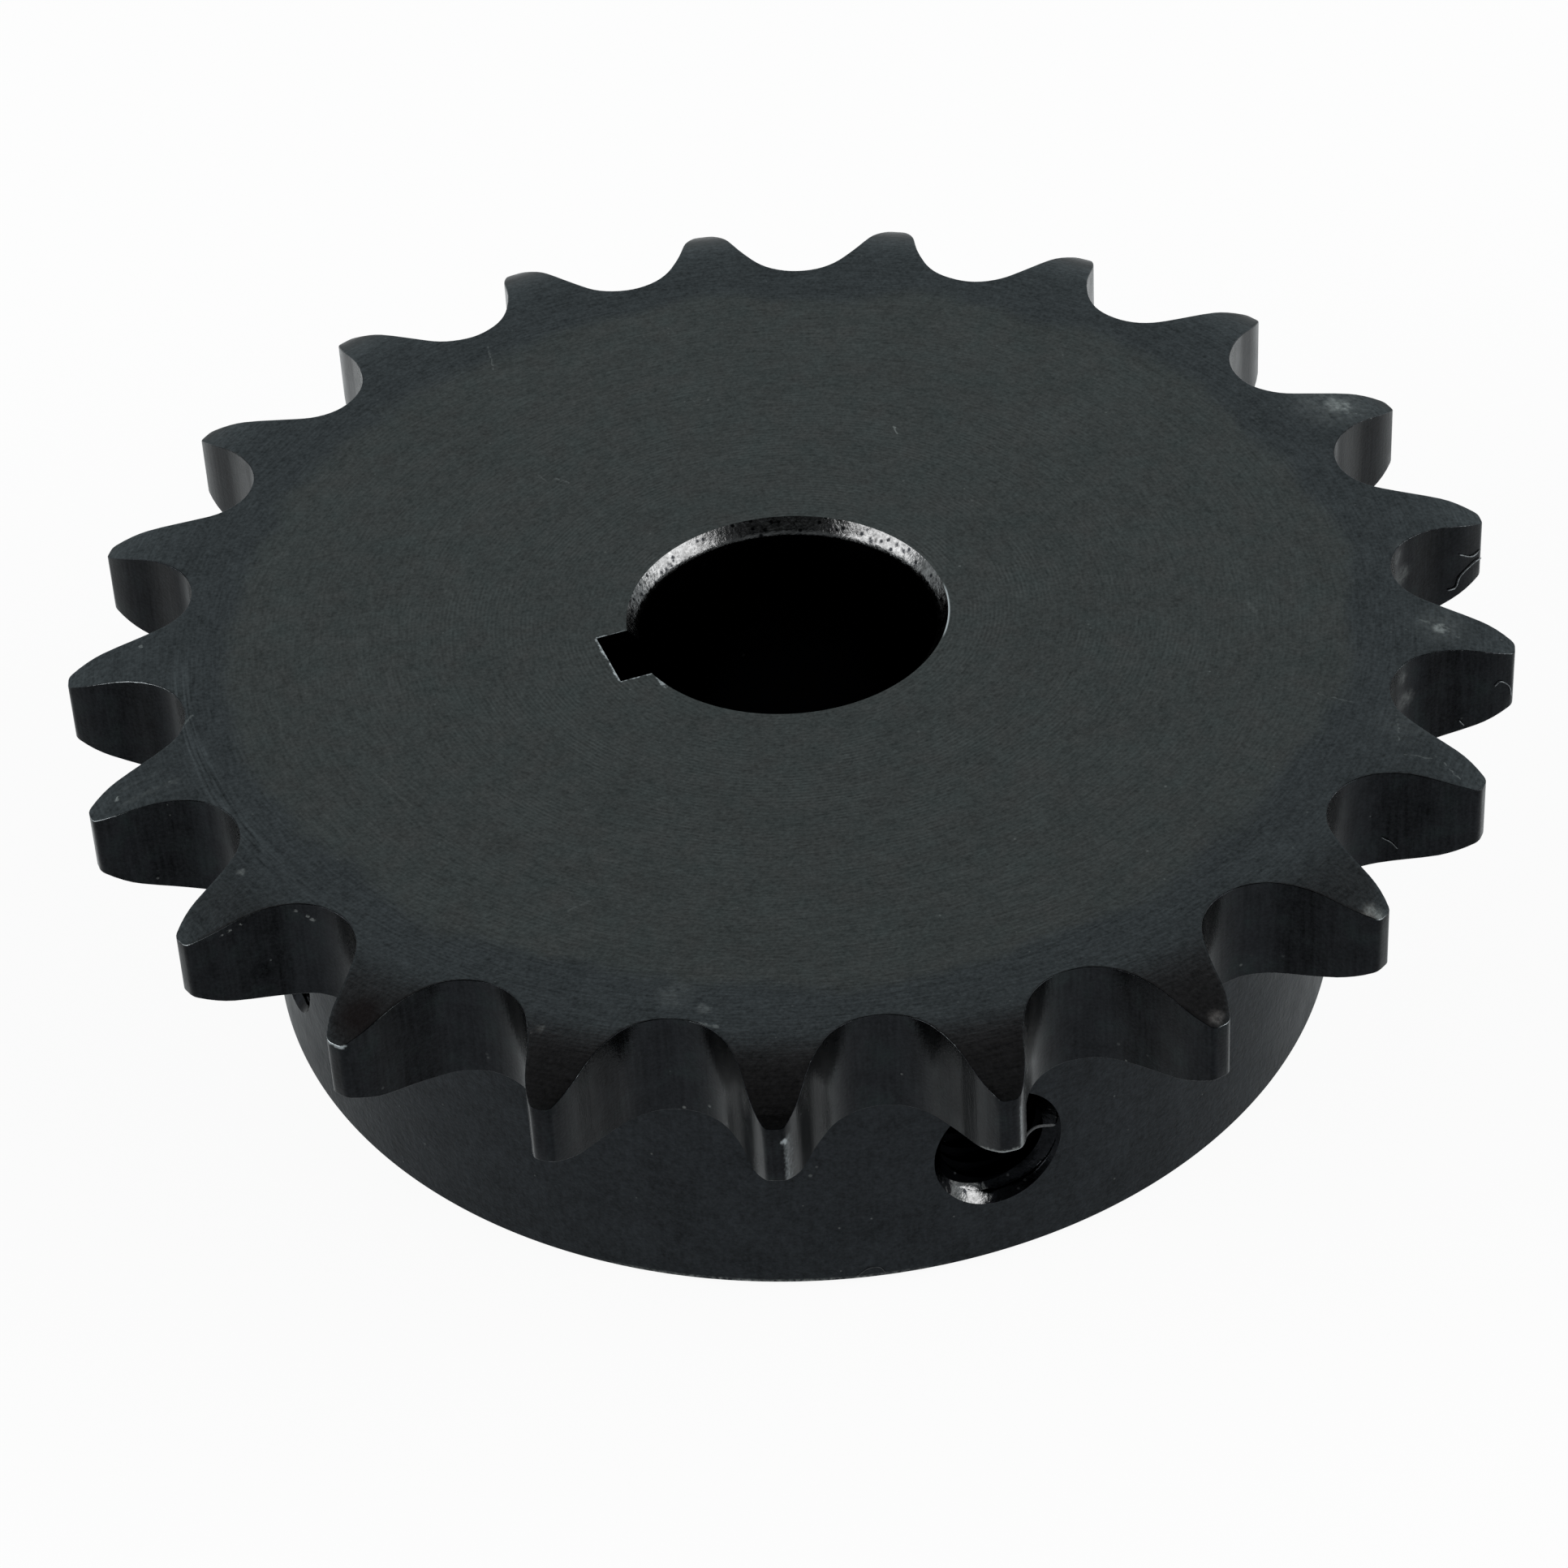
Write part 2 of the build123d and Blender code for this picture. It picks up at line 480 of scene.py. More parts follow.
def hole_patches():
    """Grids of the two set-screw holes, with the short walls of the one that breaks the keyway."""
    even, keyed = screw_columns()
    end = np.full(len(keyed), key_floor)
    patches = [hole_points(*screw_hole(end, keyed, key_floor), 0)]
    end = np.sqrt(bore_radius**2 - (screw_radius * np.cos(even)) ** 2)
    patches.append(hole_points(*screw_hole(end, even, bore_radius), np.pi / 2))
    beside = screw_steps - key_floor_steps
    turn = keyed[2 * screw_steps - beside:2 * screw_steps + beside + 1]
    share = np.linspace(0, 1, key_wall_steps + 1)[:, None]
    for turns in (turn, np.pi - turn):
        end = np.sqrt(bore_radius**2 - (screw_radius * np.cos(turns)) ** 2)
        reach = blend(key_floor, end, share)
        patches.append(hole_points(reach, screw_radius, np.broadcast_to(turns, reach.shape), 0))
    return patches


# ---------------------------------------------------------------- the mesh

# Which finish each surface of the shell has: 0 turned_steel, 1 cut_teeth, 2 turned_hub,
# 3 bored_steel, 4 chamfered_steel
finish_of = {
    "bore chamfer": 4, "face": 0, "edge": 1, "wall": 1, "low edge": 1, "under": 0, "root": 2,
    "hub": 2, "hub edge": 2, "end": 0, "bore": 3,
}
sink_bands = 13          # rows of quads across a countersink
merge_reach = 2e-7       # metres
shortest_edge = 1e-8     # metres
sharp_angle = math.radians(38)


def sprocket_mesh():
    """The closed mesh of the sprocket: the shell's rows and the holes' grids, seams merged."""
    rows, opened = shell_rows()
    shell = np.stack([points for _, points, _ in rows])
    worn = [np.concatenate([worn for _, _, worn in rows])]
    quads = grid_quads(len(rows), columns, True)
    kept = [band for band in range(len(rows) - 1) if band not in opened]
    kinds = np.array([finish_of[name] for name, _, _ in rows[1:]])[kept]
    faces = [quads[kept].reshape(-1, 4)]
    kind = [np.repeat(kinds, columns)]
    points = [shell.reshape(-1, 3)]
    count = shell.size // 3
    for patch in hole_patches():
        quads = grid_quads(patch.shape[0], patch.shape[1], False).reshape(-1, 4)
        faces.append(quads + count)
        bands = np.arange(len(quads)) // (patch.shape[1] - 1)
        kind.append(np.where((bands < sink_bands) & (patch.shape[0] > sink_bands + 2), 4, 3))
        points.append(patch.reshape(-1, 3))
        worn.append(np.zeros(patch.size // 3))
        count += patch.size // 3

    mesh = bpy.data.meshes.new("sprocket_steel")
    mesh.from_pydata(np.concatenate(points) * MM, [], np.concatenate(faces).tolist())
    mesh.polygons.foreach_set("material_index", np.concatenate(kind).astype(np.int32))
    rubbed = mesh.attributes.new("worn", "FLOAT", "POINT")
    rubbed.data.foreach_set("value", np.concatenate(worn).astype(np.float32))
    work = bmesh.new()
    work.from_mesh(mesh)
    bmesh.ops.remove_doubles(work, verts=work.verts, dist=merge_reach)
    bmesh.ops.dissolve_degenerate(work, edges=work.edges, dist=shortest_edge)
    bmesh.ops.recalc_face_normals(work, faces=work.faces)
    work.to_mesh(mesh)
    work.free()
    mesh.set_sharp_from_angle(angle=sharp_angle)
    mesh.polygons.foreach_set("use_smooth", np.ones(len(mesh.polygons), bool))
    return mesh


# ---------------------------------------------------------------- finishes

def add_node(tree, kind, inputs, output=0, **settings):
    """Adds a node, sets it, joins or fills its inputs and returns one of its outputs, if any."""
    node = tree.nodes.new("ShaderNode" + kind)
    for name, value in settings.items():
        setattr(node, name, value)
    for key, value in inputs.items():
        if isinstance(value, bpy.types.NodeSocket):
            tree.links.new(value, node.inputs[key])
        else:
            node.inputs[key].default_value = value
    return node.outputs[output] if node.outputs else None


def smooth_step(tree, value, edges, least=0.0, most=1.0):
    """least below the first edge, most above the second, and a smooth step in between."""
    inputs = {"Value": value, "From Min": edges[0], "From Max": edges[1],
              "To Min": least, "To Max": most}
    return add_node(tree, "MapRange", inputs, interpolation_type="SMOOTHSTEP")


class Finish:
    """The nodes of one finish. Places are in millimetres, in the sprocket's own frame."""

    def __init__(self, name):
        self.material = bpy.data.materials.new(name)
        self.material.use_nodes = True
        self.tree = self.material.node_tree
        self.tree.nodes.clear()
        metres = self.node("TexCoord", {}, "Object")
        self.place = self.vector("SCALE", metres, scale=1000)
        self.flat = self.vector("MULTIPLY", self.place, (1, 1, 0))
        self.radius = self.vector("LENGTH", self.flat, output=1)
        self.bearing = self.vector("NORMALIZE", self.flat)
        self.height = self.node("SeparateXYZ", {0: self.place}, 2)

    def node(self, kind, inputs, output=0, **settings):
        return add_node(self.tree, kind, inputs, output, **settings)

    def vector(self, operation, first, second=(0, 0, 0), output=0, scale=1):
        return self.node("VectorMath", {0: first, 1: second, 3: scale}, output, operation=operation)

    def maths(self, operation, first, second=0.0, third=0.0):
        return self.node("Math", {0: first, 1: second, 2: third}, operation=operation)

    def times(self, first, second):
        return self.maths("MULTIPLY", first, second)

    def total(self, *terms):
        """The sum of values, each with its factor."""
        value = 0.0
        for term, factor in terms:
            value = self.maths("MULTIPLY_ADD", term, factor, value)
        return value

    def between(self, value, low, high, least=0.0, most=1.0):
        """least below low, most above high, and a smooth step in between."""
        return smooth_step(self.tree, value, (low, high), least, most)

    def noise(self, place, size, detail=2.0, least=0.0, most=1.0):
        """Noise of the given grain size, spread so that it runs about from least to most."""
        inputs = {"Vector": place, "Scale": 1 / size, "Detail": detail, "Roughness": 0.55}
        return self.node("MapRange", {
            "Value": self.node("TexNoise", inputs), "From Min": 0.28, "From Max": 0.72,
            "To Min": least, "To Max": most}, clamp=False)

    def uneven(self, size, detail=3):
        """Noise of the given grain size at the place itself, about from -1 to 1."""
        return self.noise(self.place, size, detail, -1, 1)

    def round_about(self, along, stretch):
        """A place for marks that run round the bore: along stays, the bearing counts stretch."""
        turned = self.vector("SCALE", self.bearing, scale=stretch)
        return self.vector("ADD", turned, self.node("CombineXYZ", {"Z": along}))

    def mix(self, share, first, second):
        return self.node("Mix", {0: share, 6: first, 7: second}, 2, data_type="RGBA")

    def blended(self, share, first, second):
        return self.node("Mix", {0: share, 2: first, 3: second}, 0)

    def most_of(self, masks):
        """The largest of several masks."""
        value = masks[0]
        for mask in masks[1:]:
            value = self.maths("MAXIMUM", value, mask)
        return value

    def specks(self, size, spacing, density):
        """Small dots in the given share of the cells of a random pattern."""
        cell = self.node("TexVoronoi", {"Vector": self.place, "Scale": 1 / spacing}).node
        near = self.between(cell.outputs["Distance"], 0.4 * size / spacing, size / spacing, 1, 0)
        chosen = self.node("SeparateXYZ", {0: cell.outputs["Color"]})
        return self.times(near, self.maths("LESS_THAN", chosen, density))

    def spot(self, centre, reach, place=None):
        """1 at a point and 0 from reach on."""
        away = self.vector("DISTANCE", place or self.place, centre, output=1)
        return self.between(away, 0.25 * reach, reach, 1, 0)

    def spots(self, rows, place=None):
        """Spots of the given centres and reaches, each at its strength."""
        return [self.times(self.spot(centre, reach, place), strength)
                for centre, reach, strength in rows]

    def stroke(self, start, end, half_width, place=None):
        """1 along the line from start to end and 0 from half_width beside it on.

        The nearest point of the line is start plus the run times the share of it, held between
        0 and 1, that the place has covered.
        """
        place = place or self.place
        start, run = Vector(start), Vector(end) - Vector(start)
        offset = self.vector("SUBTRACT", place, start)
        share = self.vector("DOT_PRODUCT", offset, run / run.length_squared, output=1)
        share = self.node("Clamp", {0: share})
        nearest = self.vector("SCALE", tuple(run), scale=share)
        away = self.vector("DISTANCE", offset, nearest, output=1)
        return self.between(away, 0.3 * half_width, half_width, 1, 0)

    def rubbed(self, grain):
        """How far an edge is rubbed down to bright steel, with painted highlights at some tips'
        corners: its wear, broken up by the grain.
        """
        worn = self.node("Attribute", {}, "Fac", attribute_name="worn")
        return self.between(self.total((grain, 0.09), (worn, 1.0)), 0.20, 0.75)

    def ragged(self, reach, size):
        """The place, moved about by up to reach, so that a mark's outline is uneven."""
        moved = self.node("TexNoise", {"Vector": self.place, "Scale": 1 / size, "Detail": 2.0}, 1)
        moved = self.vector("SUBTRACT", moved, (0.5, 0.5, 0.5))
        return self.vector("ADD", self.place, self.vector("SCALE", moved, scale=4 * reach))

    def towards(self, degrees, near, far):
        """1 within near degrees of a bearing and 0 from far degrees on."""
        turn = math.radians(degrees)
        way = (math.cos(turn), math.sin(turn), 0)
        facing = self.vector("DOT_PRODUCT", self.bearing, way, output=1)
        return self.between(facing, math.cos(math.radians(far)), math.cos(math.radians(near)))

    def shaded(self, colour, *factors):
        """A colour times each of the factors."""
        for factor in factors:
            colour = self.vector("MULTIPLY", colour, factor)
        return colour

    def about_one(self, *terms):
        """1 plus the sum of values, each with its factor."""
        return self.total(*terms, (1.0, 1.0))

    def bump(self, *terms):
        """Turns a sum of values, each with its height in millimetres, into a normal."""
        return self.node("Bump", {"Height": self.total(*terms), "Distance": MM})

    def done(self, colour, rough, normal, edge_tint, metal=1.0):
        """Joins the steel's shader: metal, with a darker reflection where it is seen edge on."""
        shader = self.node("BsdfPrincipled", {
            "Metallic": metal, "Specular IOR Level": 0.15,
            "Specular Tint": (edge_tint, edge_tint, edge_tint, 1),
            "Base Color": colour, "Roughness": rough, "Normal": normal})
        self.node("OutputMaterial", {"Surface": shader})
        return self.material


# Bright bare steel, for rubbed edges and chips, and for the painted highlights on the teeth's tip
# corners.
bright_steel = (0.30, 0.325, 0.335, 1)
dust = (0.62, 0.65, 0.63, 1)

# Scratches on the plate's face and its teeth: start, end, half width and strength
face_scratches = (
    ((8.39, -36.1, 25.4), (8.97, -33.2, 25.4), 0.09, 0.10),
    ((-13.5, -16.1, 25.4), (-13.4, -15.3, 25.4), 0.11, 0.20),
    ((29.0, 4.7, 25.4), (27.8, 8.8, 25.4), 0.12, 0.04),
    ((-27.3, 20.9, 25.4), (-28.9, 22.5, 25.4), 0.10, 0.07),
    ((-27.1, 10.6, 25.4), (-27.2, 11.8, 25.4), 0.20, 0.05),
    ((9.0, -19.6, 25.4), (8.3, -18.8, 25.4), 0.12, 0.09),
    ((9.9, -20.5, 25.4), (9.6, -19.4, 25.4), 0.09, 0.07),
    ((44.0, 0.8, 24.7), (40.4, 0.6, 25.4), 0.35, 0.035),
    ((43.8, -0.5, 24.7), (41.0, -0.7, 25.3), 0.22, 0.025),
    ((20.3, 21.4, 25.4), (22.1, 21.9, 25.4), 0.10, 0.04),
    ((-4.2, 30.6, 25.4), (-5.9, 30.2, 25.4), 0.09, 0.04),
    ((-36.3, 16.7, 25.4), (-37.9, 18.9, 25.2), 0.16, 0.12),
    ((-30.9, 24.7, 25.4), (-29.9, 26.9, 25.4), 0.10, 0.10),
    ((39.0, -3.9, 25.4), (37.9, -5.2, 25.4), 0.12, 0.10),
    ((-2.2, -24.5, 25.4), (-2.6, -23.4, 25.4), 0.10, 0.05),
    ((-29.6, 28.2, 25.3), (-31.1, 29.0, 25.1), 0.10, 0.12),
    ((-31.5, 28.8, 25.0), (-32.2, 30.8, 24.4), 0.10, 0.12),
    ((18.2, 34.3, 25.4), (17.3, 35.0, 25.4), 0.16, 0.16),
)
# A painted shade darkening one tooth's bevel towards its tip, and whitish smudges: centre, reach
# and strength
face_shade_spots = (((36.0, 25.0, 24.7), 1.9, 0.75),)
face_smudges = (
    ((-41.5, -6.6, 25.2), 1.5, 0.24), ((-41.0, -6.9, 25.2), 3.6, 0.07),
    ((-37.1, 17.9, 25.3), 0.7, 0.40), ((-37.3, 17.6, 25.3), 2.4, 0.05),
    ((-38.6, 9.6, 25.4), 1.2, 0.05),
    ((39.1, 10.6, 25.4), 0.40, 0.16), ((39.0, -13.4, 25.3), 0.20, 0.25),
    ((44.1, 0.0, 24.6), 0.22, 0.45), ((41.0, 2.9, 25.2), 0.4, 0.4),
    ((26.8, 31.0, 25.3), 0.4, 0.12), ((-10.0, 44.3, 24.1), 0.7, 0.30),
    ((-22.2, 39.6, 24.1), 1.0, 0.35), ((18.7, 31.4, 25.4), 1.6, 0.05),
    ((17.5, 33.2, 25.4), 0.6, 0.10), ((-31.0, 25.6, 25.4), 2.6, 0.03),
)
# Fibres of lint: half the thickness of each, and the points that it runs through
lint_fibres = (
    (0.040, (-45.22, 7.50, 21.84), (-44.43, 7.86, 21.74), (-43.33, 8.10, 22.38)),
    (0.045, (-45.28, 7.52, 21.14), (-44.60, 7.80, 21.11), (-43.53, 8.08, 20.57),
     (-43.19, 8.13, 19.78), (-42.58, 8.20, 19.75)),
    (0.030, (-39.73, 20.60, 21.78), (-40.17, 20.60, 22.03), (-40.79, 20.56, 21.41),
     (-41.00, 20.52, 20.54)),
    (0.030, (-37.53, 20.25, 19.46), (-37.86, 20.31, 19.00)),
    (0.090, (2.68, 44.77, 19.09), (1.19, 42.06, 16.74),
     (-0.25, 39.35, 14.36), (-1.81, 36.75, 11.9),
     (-3.84, 34.46, 9.28)),
    (0.018, (9.17, 33.76, 0.65), (8.47, 33.94, 1.22), (7.78, 34.10, 1.25), (7.41, 34.19, 0.72)),
    (0.030, (-27.67, 29.54, 20.34), (-28.26, 29.71, 19.89), (-28.65, 29.85, 19.34)),
)


def turned_steel():
    """The plate's faces: facing marks round the bore under a dull blackened skin.

    The marks are a wave of the tool's feed along the radius and streaks that run round the bore;
    both change the shade and the height. Over them lie a fine grain, soft clouds, a darker rim
    with a wandering edge, scratches, smudges, specks of dust and the bright steel of rubbed
    edges. A painted shade darkens one tooth's bevel towards its tip, and a bright line along one
    side of the bore's burred rim is a painted highlight on burred steel.
    """
    steel = Finish("turned_steel")
    feed = steel.maths("SINE", steel.times(steel.radius, 2 * math.pi / 0.27))
    feed = steel.times(feed, steel.noise(steel.place, 5.0, 3, -0.3, 1.0))
    feed = steel.times(feed, steel.between(steel.radius, 12, 32, 1.0, 0.35))
    streaks = steel.noise(steel.round_about(steel.radius, 4.0), 0.17, 2, -1, 1)
    rings = steel.noise(steel.round_about(steel.radius, 1.2), 0.5, 4, -1, 1)
    grain = steel.uneven(0.24, 2)
    blotch = steel.uneven(0.6)
    cloud = steel.uneven(5.0, 4)
    arcs = steel.noise(steel.round_about(steel.radius, 1.5), 0.24, 2, -0.6, 1)
    arcs = steel.times(arcs, steel.between(steel.radius, 37.8, 38.2))
    arcs = steel.times(arcs, steel.between(steel.radius, 39.4, 38.9))
    arcs = steel.times(arcs, steel.blended(steel.towards(1, 6, 22), 0.06, 1.0))
    wander = steel.total((steel.uneven(12.0), 1.6), (steel.radius, 1.0))
    rim_band = steel.between(wander, 34.6, 36.4)

    shade = steel.about_one((streaks, 0.14), (grain, 0.22), (blotch, 0.10), (feed, 0.17),
                            (rings, 0.03), (cloud, 0.07), (arcs, 0.60), (rim_band, -0.18))
    hue = steel.noise(steel.place, 2.0, 3)
    colour = steel.mix(hue, (0.0562, 0.0588, 0.0575, 1), (0.0520, 0.0592, 0.0582, 1))
    colour = steel.mix(rim_band, colour, (0.0525, 0.0590, 0.0620, 1))
    colour = steel.shaded(colour, shade)

    ragged = steel.ragged(0.12, 0.4)
    dusty = [steel.times(steel.specks(0.13, 1.7, 0.16), 0.12),
             steel.times(steel.specks(0.09, 0.9, 0.12), 0.08)]
    for start, end, half_width, strength in face_scratches:
        dusty.append(steel.times(steel.stroke(start, end, half_width, ragged), strength))
    patchy = steel.noise(steel.place, 0.4, 3, 0.1, 1.3)
    dusty += steel.spots(face_smudges, ragged)
    dusty = steel.times(steel.most_of(dusty), patchy)
    colour = steel.mix(dusty, colour, dust)

    # Painted highlight on burred steel: a bright line along the bore's edge, on one side only.
    away = steel.maths("ABSOLUTE", steel.maths("SUBTRACT", steel.radius, bore_edge_radius))
    rim = steel.times(steel.between(away, 0.05, 0.14, 1, 0), steel.towards(158, 9, 17))
    # Painted shade: one tooth's bevel darkened towards its tip.
    painted_shade = steel.most_of(steel.spots(face_shade_spots, ragged))
    colour = steel.mix(painted_shade, colour, (0.024, 0.020, 0.020, 1))

    corners = ((9.7, -key_half_width), (key_floor, -key_half_width),
               (key_floor, key_half_width), (9.7, key_half_width), (9.6, 3.9))
    corners = [corner + (plate_top,) for corner in corners]
    burrs = [steel.stroke(start, end, half_width, ragged) for start, end, half_width in
             zip(corners, corners[1:], (0.13, 0.17, 0.12, 0.24))]
    burr = steel.times(steel.most_of(burrs), steel.noise(steel.place, 0.35, 3, -0.2, 1.3))
    bare = steel.most_of([burr, rim])
    colour = steel.mix(bare, colour, (0.5, 0.53, 0.54, 1))
    rough = steel.noise(steel.round_about(steel.radius, 4.0), 1.2, 3, 0.18, 0.26)
    normal = steel.bump((feed, 0.0014), (streaks, 0.0016), (grain, 0.0022))
    return steel.done(colour, rough, normal, 0.5)


def cut_teeth():
    """The walls of the teeth: upright marks of the cutter, semi-gloss and almost black.

    The cutter left a slight wave across each flank, highest where the seat ends. Each flank is
    painted lighter at its seat, burnished steel with painted sheen, and lighter towards its tip,
    a painted sheen. The tips' corners carry painted highlights on rubbed steel.
    """
    steel = Finish("cut_teeth")
    upright = steel.vector("MULTIPLY", steel.place, (1, 1, 0.07))
    marks = steel.noise(upright, 0.25, 3, -1, 1)
    grain = steel.uneven(0.19)
    cloud = steel.uneven(1.8)
    # Painted sheen: each flank is lighter at its seat, burnished steel with painted sheen, and
    # lighter towards its tip.
    seat = steel.between(steel.radius, 39.6, 40.9, 0.55, -0.06)
    painted_tip_sheen = steel.between(steel.radius, 41.8, 44.4, -0.05, 0.28)
    shade = steel.about_one((marks, 0.28), (grain, 0.34), (cloud, 0.28), (seat, 1.0), (painted_tip_sheen, 1.0))
    colour = steel.mix(cloud, (0.0100, 0.0108, 0.0121, 1), (0.0095, 0.0117, 0.0123, 1))
    colour = steel.shaded(colour, shade)

    ragged = steel.ragged(0.10, 0.25)
    pits = [steel.spot(centre, reach, ragged) for centre, reach in (
        ((36.9, 14.8, 24.8), 0.18), ((36.3, 15.05, 24.45), 0.13),
        ((36.05, 15.2, 24.2), 0.19), ((40.23, 14.34, 24.59), 0.14),
        ((40.97, 14.38, 24.37), 0.14), ((41.50, 14.40, 24.18), 0.13))]
    rough_patches = [steel.spot(centre, reach, ragged) for centre, reach in (
        ((-38.2, 9.4, 24.6), 0.7), ((-38.8, 9.0, 22.8), 1.0), ((-33.2, 20.4, 24.4), 0.7),
        ((-33.7, 20.3, 22.5), 0.9), ((-32.2, 21.3, 24.4), 0.6))]
    rubbed_rim = ((4.65, 44.20, 19.15), (4.35, 45.05, 19.50), (3.90, 45.72, 19.82),
                  (3.10, 45.83, 19.87))
    rim = [steel.stroke(start, end, 0.20, ragged) for start, end in zip(rubbed_rim, rubbed_rim[1:])]
    # Painted highlights on rubbed steel at the tip corners of two teeth.
    corners = [steel.stroke((38.07, 25.60, 23.85), (37.58, 26.27, 23.85), 0.30, ragged),
               steel.spot((16.20, 42.88, 22.75), 0.30, ragged)]
    low = steel.times(steel.between(steel.height, 20.0, 18.6), steel.specks(0.15, 0.6, 0.15))
    dusty = steel.most_of(
        [steel.times(steel.specks(0.10, 0.9, 0.10), 0.10), steel.times(low, 0.14)]
        + [steel.times(pit, 0.16) for pit in pits] + [steel.times(part, 0.22) for part in rim]
        + [steel.times(steel.times(patch, 0.11), steel.noise(steel.place, 0.3, 3, 0, 1.4))
           for patch in rough_patches])
    colour = steel.mix(dusty, colour, dust)
    colour = steel.mix(steel.most_of([steel.rubbed(grain)] + corners), colour, bright_steel)
    rough = steel.noise(steel.place, 2.0, 3, 0.20, 0.30)
    wave = steel.between(steel.radius, 38.8, 40.6)
    wave = steel.maths("SUBTRACT", wave, steel.between(steel.radius, 40.6, 42.8))
    normal = steel.bump((marks, 0.0016), (grain, 0.0022), (wave, 0.14))
    return steel.done(colour, rough, normal, 1.0)


def turned_hub():
    """The hub: turning marks one above another, blotched and a little bluer."""
    steel = Finish("turned_hub")
    streaks = steel.noise(steel.round_about(steel.height, 6.0), 0.18, 3, -1, 1)
    upright = steel.noise(steel.vector("MULTIPLY", steel.place, (1, 1, 0.12)), 0.28, 3, -1, 1)
    grain = steel.uneven(0.20)
    cloud = steel.uneven(2.5, 4)
    wrinkle = steel.uneven(0.45, 4)
    shade = steel.about_one((streaks, 0.05), (upright, 0.12), (grain, 0.30), (cloud, 0.18),
                            (wrinkle, 0.26))
    colour = steel.shaded((0.0163, 0.0187, 0.0213), shade)
    foot = steel.times(steel.between(steel.height, 0.8, 0.5), steel.towards(66, 8, 20))
    foot = steel.times(foot, steel.noise(steel.place, 0.3, 3, -0.4, 1.3))
    dusty = steel.most_of([steel.times(steel.specks(0.10, 1.0, 0.15), 0.10),
                           steel.times(foot, 0.28),
                           steel.times(steel.spot((11.0, 33.2, 9.7), 1.4),
                                       steel.times(steel.specks(0.16, 0.5, 0.4), 0.10))])
    colour = steel.mix(dusty, colour, dust)
    rough = steel.noise(steel.place, 3.0, 3, 0.26, 0.38)
    normal = steel.bump((streaks, 0.0010), (upright, 0.0014), (grain, 0.0030), (wrinkle, 0.007))
    return steel.done(colour, rough, normal, 0.66, 0.6)


def bored_steel():
    """The bore, its keyway and the tapped holes: dark and smooth, with a few bright chips."""
    steel = Finish("bored_steel")
    streaks = steel.noise(steel.round_about(steel.height, 6.0), 0.3, 3, -1, 1)
    grain = steel.uneven(0.2)
    cloud = steel.uneven(2.0)
    colour = steel.shaded((0.0012, 0.0013, 0.0016), steel.about_one((cloud, 0.3)))
    top_edge = steel.times(steel.between(steel.height, 25.2, 25.36),
                           steel.noise(steel.place, 0.35, 3, -0.3, 1.0))
    chips = steel.most_of([steel.times(steel.specks(0.14, 0.8, 0.08), 0.06),
                           steel.times(top_edge, 0.4)])
    colour = steel.mix(chips, colour, bright_steel)
    rough = steel.noise(steel.place, 2.0, 3, 0.2, 0.3)
    normal = steel.bump((streaks, 0.001), (grain, 0.001))
    return steel.done(colour, rough, normal, 0.4)


def chamfered_steel():
    """The bore's chamfers, bare and pitted, and the countersinks, black but for a patch low on
    each, scraped steel with a painted highlight.
    """
    steel = Finish("chamfered_steel")
    grain = steel.uneven(0.20)
    torn = steel.noise(steel.round_about(steel.height, 9.0), 0.45, 3, -1, 1)
    cloud = steel.uneven(1.0)
    colour = steel.shaded((0.0085, 0.0090, 0.0102), steel.about_one((cloud, 0.4), (grain, 0.3)))
    inside = steel.between(steel.radius, 12, 14, 1, 0)
    # Painted highlight on scraped steel: a patch low on each countersink.
    scraped_highlight_spots = [steel.spot((2.2, 34.4, 5.4), 2.6), steel.spot((34.4, -2.2, 5.4), 2.6)]
    striped = steel.noise(steel.vector("MULTIPLY", steel.place, (1, 0.3, 0.3)), 0.22, 2, -1, 1)
    scraped_and_highlit = steel.total((steel.most_of(scraped_highlight_spots), 1.0), (striped, 0.35), (grain, 0.1))
    scraped_and_highlit = steel.between(scraped_and_highlit, 0.45, 0.75)
    holes = [steel.spot(centre, 0.21, steel.ragged(0.08, 0.15)) for centre in (
        (4.62, -8.85, 25.05), (4.89, -8.45, 24.75), (5.30, -8.22, 24.77),
        (5.72, -7.97, 24.81), (6.87, -7.46, 25.26), (6.40, -7.32, 24.69),
        (-7.89, -5.72, 24.72), (-8.81, -4.87, 25.16), (-9.12, -4.21, 25.12),
        (-9.30, -3.54, 25.01), (-9.53, -3.24, 25.15), (-9.53, -2.13, 24.74))]
    pits = steel.most_of([steel.specks(0.20, 0.42, 0.30)] + holes)
    bare = steel.times(steel.maths("MAXIMUM", inside, scraped_and_highlit),
                       steel.maths("SUBTRACT", 1.0, pits))
    chips = steel.most_of([steel.specks(0.13, 0.45, 0.26), steel.spot((-2.11, -9.54, 24.76), 0.12),
                           steel.spot((-5.79, -7.89, 24.78), 0.12)])
    chips = steel.times(chips, 0.6)
    worn = steel.shaded((0.095, 0.095, 0.095), steel.about_one((grain, 0.4), (torn, 0.4)))
    colour = steel.mix(steel.maths("MAXIMUM", bare, chips), colour, worn)
    rough = steel.noise(steel.place, 0.6, 3, 0.10, 0.20)
    normal = steel.bump((grain, 0.004), (torn, 0.004))
    return steel.done(colour, rough, normal, 0.6)


